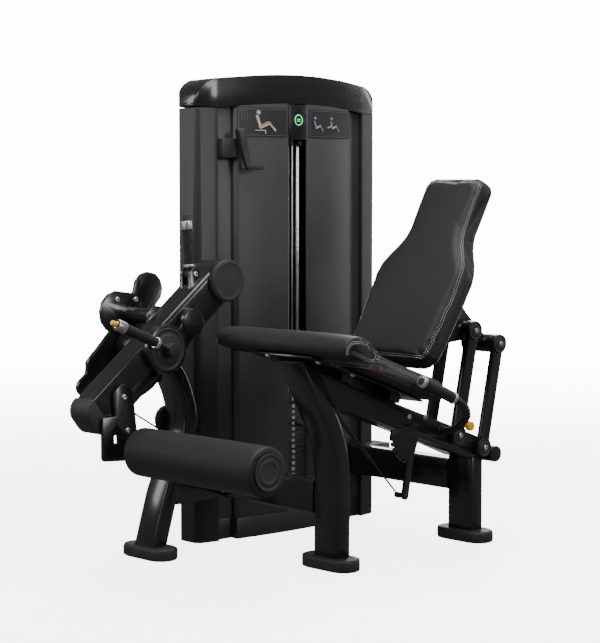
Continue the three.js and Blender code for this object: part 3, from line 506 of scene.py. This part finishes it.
def puff(piece, voxel, cap, held):  # swells a closed skin, held where it rests on its board
    only(piece)
    piece.data.remesh_voxel_size = voxel
    bpy.ops.object.voxel_remesh()
    start = [vertex.co.copy() for vertex in piece.data.vertices]
    group = piece.vertex_groups.new(name="held")
    group.add([i for i, co in enumerate(start) if held(co)], 1.0, "REPLACE")
    cloth = piece.modifiers.new("cloth", "CLOTH")
    cloth.settings.use_pressure = True
    cloth.settings.uniform_pressure_force = swelling["pressure"]
    cloth.settings.effector_weights.gravity = 0
    cloth.settings.vertex_group_mass = "held"
    cloth.collision_settings.use_collision = False
    cloth.point_cache.frame_start = 1
    cloth.point_cache.frame_end = swelling["frames"]
    for frameNumber in range(1, swelling["frames"] + 1):
        scene.frame_set(frameNumber)
    swollen = piece.evaluated_get(bpy.context.evaluated_depsgraph_get()).data
    moved = [vertex.co.copy() for vertex in swollen.vertices]
    piece.modifiers.remove(cloth)
    piece.vertex_groups.clear()
    for vertex, before, after in zip(piece.data.vertices, start, moved):
        step = after - before
        vertex.co = before + step * min(1, cap / max(step.length, 1e-9))
    scene.frame_set(1)
    modify(piece, "SMOOTH", factor=0.5, iterations=swelling["smoothing"])


def tree(points):
    places = KDTree(len(points))
    for i, point in enumerate(points):
        places.insert(point, i)
    places.balance()
    return places


def pressSeam(piece, path, width, depth):  # draws the skin in along a seam
    near = tree(path)
    for vertex in piece.data.vertices:
        distance = near.find(vertex.co)[2]
        if distance < width:
            share = 1 - distance / width
            vertex.co -= vertex.normal * depth * share * share * (3 - 2 * share)
    piece.data.update()


def spaced(corners, step, closed=True):  # points every step along a line through the corners
    ends = corners[1:] + corners[:1] if closed else corners[1:]
    points = []
    left = 0.0
    for first, second in zip(corners, ends):
        length = (second - first).length
        while left < length:
            points.append(first.lerp(second, left / length))
            left += step
        left -= length
    return points


def onSkin(piece, points):
    found = [piece.closest_point_on_mesh(point) for point in points]
    return [(place, normal) for hit, place, normal, face in found if hit]


def stitches(name, piece, path, body, aside=0.0, length=sewing["length"], thick=sewing["thick"],
             material=thread):
    spots = onSkin(piece, spaced(path, sewing["pitch"]))
    dots = []
    for i, (place, normal) in enumerate(spots):
        ahead = (spots[(i + 1) % len(spots)][0] - spots[i - 1][0]).normalized()
        across = ahead.cross(normal).normalized()
        dots.append((place + across * aside + normal * thick * sewing["sunk"], ahead, normal))
    clearSelection()
    bpy.ops.mesh.primitive_uv_sphere_add(segments=6, ring_count=4, radius=0.5)
    first = bpy.context.object
    bring(first)
    copies = []
    for place, ahead, normal in dots:
        copy = first.copy()
        copy.data = first.data.copy()
        side = normal.cross(ahead).normalized()
        turn = Matrix((ahead * length, side * thick, normal * thick)).transposed().to_4x4()
        copy.matrix_world = Matrix.Translation(place) @ turn
        scene.collection.objects.link(copy)
        copies.append(copy)
    bpy.data.objects.remove(first)
    seam = joined(copies)
    smooth(seam, 60)
    return settle(seam, name, body, material)


def rounded(corners, radius, steps=6):  # rounds the corners of a closed outline of 2D points
    points = []
    for i, corner in enumerate(corners):
        before = (corners[i - 1] - corner)
        after = (corners[(i + 1) % len(corners)] - corner)
        reach = min(radius, before.length * 0.45, after.length * 0.45)
        first = corner + before.normalized() * reach
        last = corner + after.normalized() * reach
        for j in range(steps + 1):
            t = j / steps
            points.append(first.lerp(corner, t).lerp(corner.lerp(last, t), t))
    return points


def cushion(node, name, material, shrink, voxel, cap, held, source=None):
    piece = source or cleanCopy(node)
    editAll(piece)
    bpy.ops.transform.shrink_fatten(value=-shrink)
    objectMode()
    puff(piece, voxel, cap, held)
    settle(piece, name, bodyOf(node), material, [node])
    return piece


def finishCushion(piece):
    modify(piece, "SUBSURF", levels=1, render_levels=1)
    smooth(piece, 80)


# seat: a flat board under a crowned pad, with one seam round its upper edge
seatUp = (onSeat(0, 1, 0) - onSeat(0, 0, 0)).normalized()
seatFloor = onSeat(0, 0, 0)
seat = cushion("seat_pad", "seat_cushion", seatCover, 0.004, 0.005, 0.008,
               lambda co: (co - seatFloor).dot(seatUp) < 0.012)
seatCorners = [(3, -752), (380, -752), (380, -328), (3, -328)]
seatOutline = rounded([onSeat(along, 47, y) for along, y in seatCorners], 0.03)
pressSeam(seat, spaced(seatOutline, 0.002), 0.006, 0.0022)
finishCushion(seat)
stitches("seat_stitching", seat, seatOutline, "frame", 0.003)
stitches("seat_stitching_2", seat, seatOutline, "frame", -0.003)
seatHem = rounded([onSeat(7, 8, -750), onSeat(377, 8, -750), onSeat(377, 8, -330), onSeat(7, 8, -330)], 0.035)
stitches("seat_piping", seat, seatHem, "frame", 0, 0.009, 0.0016, redPiping)
print("seat made")

# roll under the knees
thigh = cushion("thigh_pad", "thigh_cushion", cover, 0.004, 0.005, 0.007,
                lambda co: co.z < at(0, 0, 646).z)
thighSection = [(-148, 668), (-150, 690), (-128, 710), (-92, 712), (-48, 694), (-20, 668), (-22, 646),
                (-44, 639), (-96, 655), (-132, 668)]
thighMiddle = Vector((-88, 676))
thighShare = 0.86  # the end seams run inside the roll's section
thighRings = []
for y in (-830, -250):
    ring = [thighMiddle + thighShare * (Vector(place) - thighMiddle) for place in thighSection]
    thighRings.append([at(place.x, y, place.y) for place in ring])
for ring in thighRings:
    pressSeam(thigh, [spot for spot, normal in onSkin(thigh, spaced(ring, 0.002))], 0.006, 0.002)
finishCushion(thigh)
for i, ring in enumerate(thighRings):
    stitches(f"thigh_stitching_{i + 1}", thigh, ring, "frame", 0.003)
    stitches(f"thigh_stitching_{i + 3}", thigh, ring, "frame", -0.003)
print("thigh roll made")

# backrest: the seam follows the bottle outline inside its edge
backHalf = [(0, 140), (7, 158), (26, 176), (60, 182), (120, 186), (200, 191), (290, 192), (322, 186),
            (352, 172), (400, 145), (424, 135), (454, 129), (540, 129), (607, 127), (623, 116), (629, 98)]
backLength = backHalf[-1][0]
backArch = {"from": 0.57, "over": 0.06, "rise": 0.011, "half": 0.13}  # metres along and across the cushion
backAhead = (onBack(0, 0, 0) - onBack(0, 0, 1)).normalized()
backRear = onBack(0, 0, 66)
back = cushion("back_pad", "back_cushion", cover, 0.004, 0.005, 0.009,
               lambda co: (co - backRear).dot(backAhead) < 0.01)

backTop = onBack(0, 0, 33)
backAlong = (onBack(1, 0, 0) - onBack(0, 0, 0)).normalized()
for vertex in back.data.vertices:
    up = (vertex.co - backTop).dot(backAlong)
    side = abs(vertex.co.y - backTop.y)
    if up > backArch["from"]:
        share = (up - backArch["from"]) / backArch["over"]
        vertex.co += backAlong * backArch["rise"] * share * max(0, 1 - (side / backArch["half"]) ** 2)


def backLine(inset, behind):
    right = [Vector((along, side)) for along, side in backHalf]
    left = [Vector((along, -side)) for along, side in reversed(backHalf)]
    line = []
    for point in rounded(right + left, 30, 3):
        side = point.y - math.copysign(inset, point.y)
        along = min(max(point.x, inset), backLength - inset)
        line.append(onBack(along, side, behind))
    return line


backSeam = backLine(9, 2)
pressSeam(back, [spot for spot, normal in onSkin(back, spaced(backSeam, 0.002))], 0.007, 0.0025)
backHem = backLine(-1, 56)
finishCushion(back)
stitches("back_stitching", back, backSeam, "backrest", 0.0032)
stitches("back_stitching_2", back, backSeam, "backrest", -0.0032)
stitches("back_hem", back, backHem, "backrest", 0)
print("backrest made")

# shin roller: a foam sleeve with a turned cap in its near end
rollerAt = {"x": -439, "z": 370, "radius": 75, "near": -817, "far": -263}
rollerMiddle = at(rollerAt["x"], (rollerAt["near"] + rollerAt["far"]) / 2, rollerAt["z"])
rollerBlank = cylinder(rollerMiddle, (0, 1, 0), 0.074, 0.551, 96)
bring(rollerBlank)
modify(rollerBlank, "BEVEL", width=0.014, segments=4, limit_method="ANGLE", angle_limit=math.radians(40))
rollerEnds = (at(0, rollerAt["near"] + 5, 0).y, at(0, rollerAt["far"] - 5, 0).y)
roll = cushion("roller_pad", "roller_sleeve", cover, 0.003, 0.005, 0.005,
               lambda co: co.y < rollerEnds[0] or co.y > rollerEnds[1], rollerBlank)
rollRings = []
for y in (rollerAt["near"] + 22, rollerAt["far"] - 22):
    turns = [2 * math.pi * i / 40 for i in range(40)]
    ring = [Vector((math.cos(turn), math.sin(turn))) * rollerAt["radius"] for turn in turns]
    rollRings.append([at(rollerAt["x"] + spot.x, y, rollerAt["z"] + spot.y) for spot in ring])
for ring in rollRings:
    pressSeam(roll, [spot for spot, normal in onSkin(roll, spaced(ring, 0.002))], 0.005, 0.0016)
finishCushion(roll)
capPlace = at(rollerAt["x"], rollerAt["near"] + 2, rollerAt["z"])
capSteps = [(0.006, 0), (0.0015, -0.0016), (0.007, 0), (0.0015, 0.0016), (0.009, 0), (0.0015, -0.0014),
            (0.006, 0)]
rollCap = turnedCap(capPlace, (0, -1, 0), 0.052, 0.003, capSteps, 0.0006, 64)
settle(rollCap, "roller_cap", "roller", plastic)
print("roller made")

# tower front: placards, counter and stack numbers

bow = {"half": 405, "sagitta": 42.6}
bow["radius"] = (bow["half"] ** 2 + bow["sagitta"] ** 2) / (2 * bow["sagitta"])


def bowY(x):  # the bowed face of the tower at a place across it
    return bow["radius"] - bow["sagitta"] - math.sqrt(bow["radius"] ** 2 - (x - bow["half"]) ** 2)


def bowedPlate(x0, x1, z0, z1, proud, thick, corner=0.004):  # a thin plate that lies on the bowed face
    piece = block(at(x0, -2, z0), at(x1, 0, z1))
    editFaces(piece, lambda centre, normal: abs(normal.z) > 0.9)
    objectMode()
    only(piece)
    bpy.ops.object.mode_set(mode="EDIT")
    bpy.ops.mesh.select_mode(type="EDGE")
    objectMode()
    for edge in piece.data.edges:
        a, b = (piece.data.vertices[i].co for i in edge.vertices)
        edge.select = abs(a.y - b.y) > 0.001
    bpy.ops.object.mode_set(mode="EDIT")
    bpy.ops.mesh.bevel(offset=corner, segments=4)
    objectMode()
    steps = max(2, int((x1 - x0) / 12))
    for i in range(1, steps):
        editAll(piece)
        bpy.ops.mesh.bisect(plane_co=at(x0 + (x1 - x0) * i / steps, 0, 0), plane_no=(1, 0, 0))
        objectMode()
    middle = at(0, -1, 0).y
    for vertex in piece.data.vertices:
        x = (vertex.co.x - drawingZero.x) * 1000
        face = at(0, bowY(x) - proud, 0).y
        vertex.co.y = face if vertex.co.y < middle else face + thick / 1000
    smooth(piece, 30)
    return piece


def rim(x0, x1, z0, z1, proud, width=1.6):
    return joined([bowedPlate(x0, x1, z1 - width, z1, proud, 1, 0.0003),
                   bowedPlate(x0, x1, z0, z0 + width, proud, 1, 0.0003),
                   bowedPlate(x0, x0 + width, z0 + width, z1 - width, proud, 1, 0.0003),
                   bowedPlate(x1 - width, x1, z0 + width, z1 - width, proud, 1, 0.0003)])


def limb(start, end, width, proud):  # a flat rounded bar between two places on a placard
    x = (start[0] + end[0]) / 2
    length = math.hypot(end[0] - start[0], end[1] - start[1])
    middle = at(x, bowY(x) - proud, (start[1] + end[1]) / 2)
    half = Vector((length / 2 + width / 2, 0.4, width / 2)) / 1000
    piece = block(-half, half)
    for edge in piece.data.edges:
        a, b = (piece.data.vertices[i].co for i in edge.vertices)
        edge.select = abs(a.y - b.y) > 0.0005
    only(piece)
    bpy.ops.object.mode_set(mode="EDIT")
    bpy.ops.mesh.select_mode(type="EDGE")
    bpy.ops.mesh.bevel(offset=width * 0.00047, segments=5)
    objectMode()
    angle = math.atan2(end[1] - start[1], end[0] - start[0])
    lean = math.atan2(bowY(x + 5) - bowY(x - 5), 10)
    turn = Matrix.Rotation(lean, 4, "Z") @ Matrix.Rotation(-angle, 4, "Y")
    piece.matrix_world = Matrix.Translation(middle) @ turn
    bring(piece)
    return piece


placards = {"left": (152, 356), "right": (454, 658), "bottom": 1297, "top": 1390}
plates, lines = [], []
for side in ("left", "right"):
    x0, x1 = placards[side]
    plates.append(bowedPlate(x0, x1, placards["bottom"], placards["top"], 1.2, 1.4))
    lines.append(rim(x0 + 4, x1 - 4, placards["bottom"] + 4, placards["top"] - 4, 1.9, 1.3))
settle(joined(plates), "placards", "frame", placardFace)
lines.append(rim(166, 190, 1352, 1380, 2.1, 1.2))
lines += [limb((172, 1359 + 6 * i), (184, 1359 + 6 * i), 1.8, 2.0) for i in range(3)]
settle(joined(lines), "placard_lines", "frame", rimInk)
seated = [((228, 1362), (240, 1328), 9), ((240, 1328), (276, 1342), 9), ((276, 1342), (300, 1320), 7),
          ((232, 1374), (234, 1376), 11), ((222, 1318), (262, 1318), 3), ((262, 1318), (262, 1308), 3)]
settle(joined([limb(*part, 2.2) for part in seated]), "placard_figure", "frame", paleInk)
thighs = [((246, 1333), (272, 1344), 5.5), ((544, 1332), (560, 1338), 4)]
settle(joined([limb(*part, 2.9) for part in thighs]), "placard_muscle", "frame", orangeInk)
panes = []
for x in (478, 558):
    panes += [limb((x, 1352), (x + 8, 1330), 5, 2.2), limb((x + 8, 1330), (x + 28, 1338), 5, 2.2)]
    panes += [limb((x + 28, 1338), (x + 40, 1322), 4, 2.2), limb((x + 2, 1362), (x + 3, 1363), 7, 2.2)]
settle(joined(panes), "placard_panes", "frame", greyInk)

ringAt = at(405, bowY(405) - 1.6, 1354)
clearSelection()
bpy.ops.mesh.primitive_torus_add(location=ringAt, rotation=(math.radians(90), 0, 0), major_radius=0.0165,
                                 minor_radius=0.0016, major_segments=48, minor_segments=8)
ring = bpy.context.object
smooth(ring, 80)
bars = [block(ringAt + Vector((-0.007, -0.001, 0.001)), ringAt + Vector((0.007, 0.001, 0.004))),
        block(ringAt + Vector((-0.007, -0.001, -0.005)), ringAt + Vector((0.007, 0.001, -0.002)))]
settle(joined([ring] + bars), "counter_ring", "frame", greenLight)
blocks = [block(at(x - 9, -32, 1271), at(x + 9, -22, 1287)) for x in (385, 425)]
for piece in blocks:
    modify(piece, "BEVEL", width=0.002, segments=2)
    smooth(piece)
settle(joined(blocks), "rod_clamps", "frame", rubber)


def number(value, x, z, y):
    clearSelection()
    bpy.ops.object.text_add(location=at(x, y, z), rotation=(math.radians(90), 0, 0))
    text = bpy.context.object
    text.data.body = str(value)
    text.data.size = 0.015
    text.data.align_x = "CENTER"
    text.data.align_y = "CENTER"
    text.data.extrude = 0.0002
    bpy.ops.object.convert(target="MESH")
    bring(text)
    return text


plateFront = -34.6
numbersX = 390
pitch = 19
fixedNumbers = [number(95 - 5 * i, numbersX, 156 + pitch * (i + 0.5), plateFront) for i in range(10)]
settle(joined(fixedNumbers), "stack_numbers", "frame", paleInk)
liftedNumbers = [number(45 - 5 * i, numbersX, 346 + pitch * (i + 0.5), plateFront) for i in range(4)]
liftedNumbers.append(number(25, numbersX, 437, plateFront))
settle(joined(liftedNumbers), "lifted_numbers", "lifted_stack", paleInk)
print("tower front made")

# bolts and turned caps

toUser = (0, -1, 0)
underPan = (-math.sin(seatSlope), 0, -math.cos(seatSlope))
bolts = {
    "frame": [((-100, -655, 635.5), underPan), ((40, -655, 589), underPan), ((262, -655, 509.7), underPan),
              ((-130, -476, 645.4), underPan), ((355, -588, 431), toUser), ((426, -588, 425), toUser),
              ((20, -103, 235), toUser), ((20, -103, 185), toUser)],
    "lever": [((-303, -227, 656), toUser), ((-153, -176, 872), toUser), ((-312, 5, 794), toUser),
              ((-241, 5, 791), toUser)],
    "roller_arm": [((-456, -210, 525), toUser), ((-444, -210, 426), toUser)],
}
for body, places in bolts.items():
    heads = [socketBolt(at(*place), axis) for place, axis in places]
    settle(joined(heads), body + "_bolts", body, boltSteel)

ringedSteps = [(0.004, 0), (0.001, -0.002), (0.005, 0), (0.001, 0.0025), (0.006, 0), (0.001, -0.001)]
capPlaces = {"front_rocker": [(567, 355), (639, 683)], "rear_rocker": [(687, 306), (759, 634)]}
for body, places in capPlaces.items():
    caps, centres = [], []
    for x, z in places:
        for side in (-1, 1):
            face = at(x, -540 + side * 67, z)
            caps.append(turnedCap(face, (0, side, 0), 0.0295, 0.005, ringedSteps, 0.0006))
            centres.append(socketBolt(face + Vector((0, side * 0.0045, 0)), (0, side, 0), 0.009))
    settle(joined(caps), body + "_caps", body, plastic)
    settle(joined(centres), body + "_bolts", body, boltSteel)

hubSteps = [(0.006, 0), (0.0012, -0.002), (0.012, 0), (0.0012, 0.002)]
hubCap = turnedCap(at(-303, -225, 656), toUser, 0.064, 0.0025, hubSteps, 0.0008, 64)
settle(hubCap, "pivot_cap", "lever", plastic)
discSteps = [(0.004, 0), (0.001, -0.001), (0.02, 0.001), (0.02, 0.0008)]
discRings = turnedCap(at(-53, -217, 850), toUser, 0.058, 0.0015, discSteps, 0.0005, 64)
settle(discRings, "disc_face", "lever", plastic)

armLow, armHigh = Vector((-516, 478)), Vector((-53, 850))
armAlong = (armHigh - armLow).normalized()
armUp = Vector((-armAlong.y, armAlong.x))
armTurn = Matrix.Rotation(-math.atan2(armAlong.y, armAlong.x), 4, "Y")
notches = {"count": 9, "first": 78, "pitch": 9, "below": 18}  # start positions, in a row on the arm's side
teeth = []
for i in range(notches["count"]):
    spot = armLow + armAlong * (notches["first"] + notches["pitch"] * i) - armUp * notches["below"]
    tooth = block(Vector((-3, -1.2, -7)) / 1000, Vector((3, 0.4, 7)) / 1000)
    modify(tooth, "BEVEL", width=0.0012, segments=2)
    smooth(tooth)
    tooth.matrix_world = Matrix.Translation(at(spot.x, -195, spot.y)) @ armTurn
    bring(tooth)
    teeth.append(tooth)
settle(joined(teeth), "start_notches", "lever", iron)

# bright collars and ribs of the two lever grips and the seat handles


def collar(start, end, low, high, radius):
    axis = end - start
    first, last = start.lerp(end, low), start.lerp(end, high)
    piece = cylinder((first + last) / 2, axis, radius, (last - first).length, 40)
    bring(piece)
    modify(piece, "BEVEL", width=0.0012, segments=3, limit_method="ANGLE", angle_limit=math.radians(40))
    smooth(piece)
    return piece


ribCount = {"lever": 12, "seat": 18}
grips = {
    "range_lever": (at(-303, -245, 656), at(-526, -245, 749),
                    ((0.235, 0.285, 0.0178), (0.79, 0.925, 0.0172)), "range"),
    "start_lever": (at(-153, -150, 872), at(-166, -150, 1047),
                    ((0.125, 0.175, 0.0178), (0.78, 0.925, 0.0172)), "start"),
}
for body, (start, end, bands, name) in grips.items():
    settle(joined([collar(start, end, *band) for band in bands]), name + "_collars", body, satin)
    first = bands[0][1] + 0.035
    step = (0.76 - first) / ribCount["lever"]
    ribs = [collar(start, end, first + step * i, first + step * (i + 0.5), 0.0158)
            for i in range(ribCount["lever"])]
    settle(joined(ribs), name + "_ribs", body, rubber)
for side, name in ((-1, "near"), (1, "far")):
    start, end = at(205, -540 + 240 * side, 566), at(341, -540 + 240 * side, 507)
    collars = [collar(start, end, -0.03, 0.05, 0.0187), collar(start, end, 0.96, 1.03, 0.0185)]
    settle(joined(collars), f"seat_grip_{name}_collar", "frame", satin)
    ribs = [collar(start, end, 0.06 + 0.05 * i, 0.085 + 0.05 * i, 0.0179) for i in range(ribCount["seat"])]
    settle(joined(ribs), f"seat_grip_{name}_ribs", "frame", rubber)
print("caps, bolts and grips made")

# room

room = {
    "floor": (0.93, 0.93, 0.94),
    "floorRadius": 14,
    "floorGlow": 0.3,
    "sky": (1.0, 1.0, 1.0),
    "skyGlow": 14.0,
    "around": 0.18,
}


def pale(name, tone, near, far):  # glows more with distance, so the floor runs into the backdrop
    net = Net(name)
    cloud = net.noise(0.8, 3)
    away = net.node("ShaderNodeVectorMath", {"operation": "LENGTH"}, {0: net.place}, "Value")
    glow = net.blend((near, near, near), (far, far, far), net.smooth(away, 1.6, 7.5))
    net.plug(net.shader.inputs["Emission Color"], glow)
    color = net.blend(tone, tuple(part * 0.985 for part in tone), cloud)
    return net.finish(color, 0.6 + 0.05 * cloud, Specular_IOR_Level=0.2, Emission_Strength=room["skyGlow"])


clearSelection()
bpy.ops.mesh.primitive_circle_add(vertices=96, radius=room["floorRadius"], fill_type="NGON",
                                  location=(0, 0, -0.0005))
floor = bpy.context.object
floor.name = "floor"
floor.data.materials.append(pale("pale_floor", room["floor"], room["floorGlow"], 1.0))
floor.visible_glossy = False
floor.visible_diffuse = False

clearSelection()
bpy.ops.mesh.primitive_uv_sphere_add(segments=48, ring_count=24, radius=room["floorRadius"] + 6)
sky = bpy.context.object
sky.name = "backdrop"
sky.data.materials.append(pale("pale_backdrop", room["sky"], 1.0, 1.0))
for kind in ("visible_glossy", "visible_diffuse", "visible_transmission", "visible_shadow"):
    setattr(sky, kind, False)

lights = {  # place, aim, size, power
    "key": ((-4.2, -1.6, 3.4), (-0.1, 0, 0.8), (1.6, 3.0), 95),
    "front": ((1.2, -5.2, 2.4), (0.1, 0, 0.8), (1.2, 2.6), 105),
    "top": ((0.2, -0.4, 4.4), (0.1, 0, 0.5), (4.2, 3.2), 300),
    "rim": ((-3.2, 3.4, 2.4), (0, 0.2, 0.9), (0.9, 2.6), 50),
    "back": ((3.6, 2.6, 2.8), (0, 0, 0.9), (1.4, 2.6), 140),
    "left_strip": ((-4.6, 0.6, 1.5), (0, 0, 0.8), (0.28, 2.8), 24),
    "right_strip": ((4.7, -0.9, 1.5), (0, 0, 0.8), (0.4, 2.8), 30),
}
for name, (place, aim, size, power) in lights.items():
    data = bpy.data.lights.new(name, "AREA")
    data.shape = "RECTANGLE"
    data.size, data.size_y = size
    data.energy = power
    lamp = bpy.data.objects.new(name, data)
    scene.collection.objects.link(lamp)
    lamp.location = place
    lamp.rotation_euler = (Vector(aim) - Vector(place)).to_track_quat("-Z", "Y").to_euler()

world = bpy.data.worlds.new("studio")
scene.world = world
world.use_nodes = True
world.node_tree.nodes["Background"].inputs[0].default_value = (1, 1, 1, 1)
world.node_tree.nodes["Background"].inputs[1].default_value = room["around"]
print("room made")
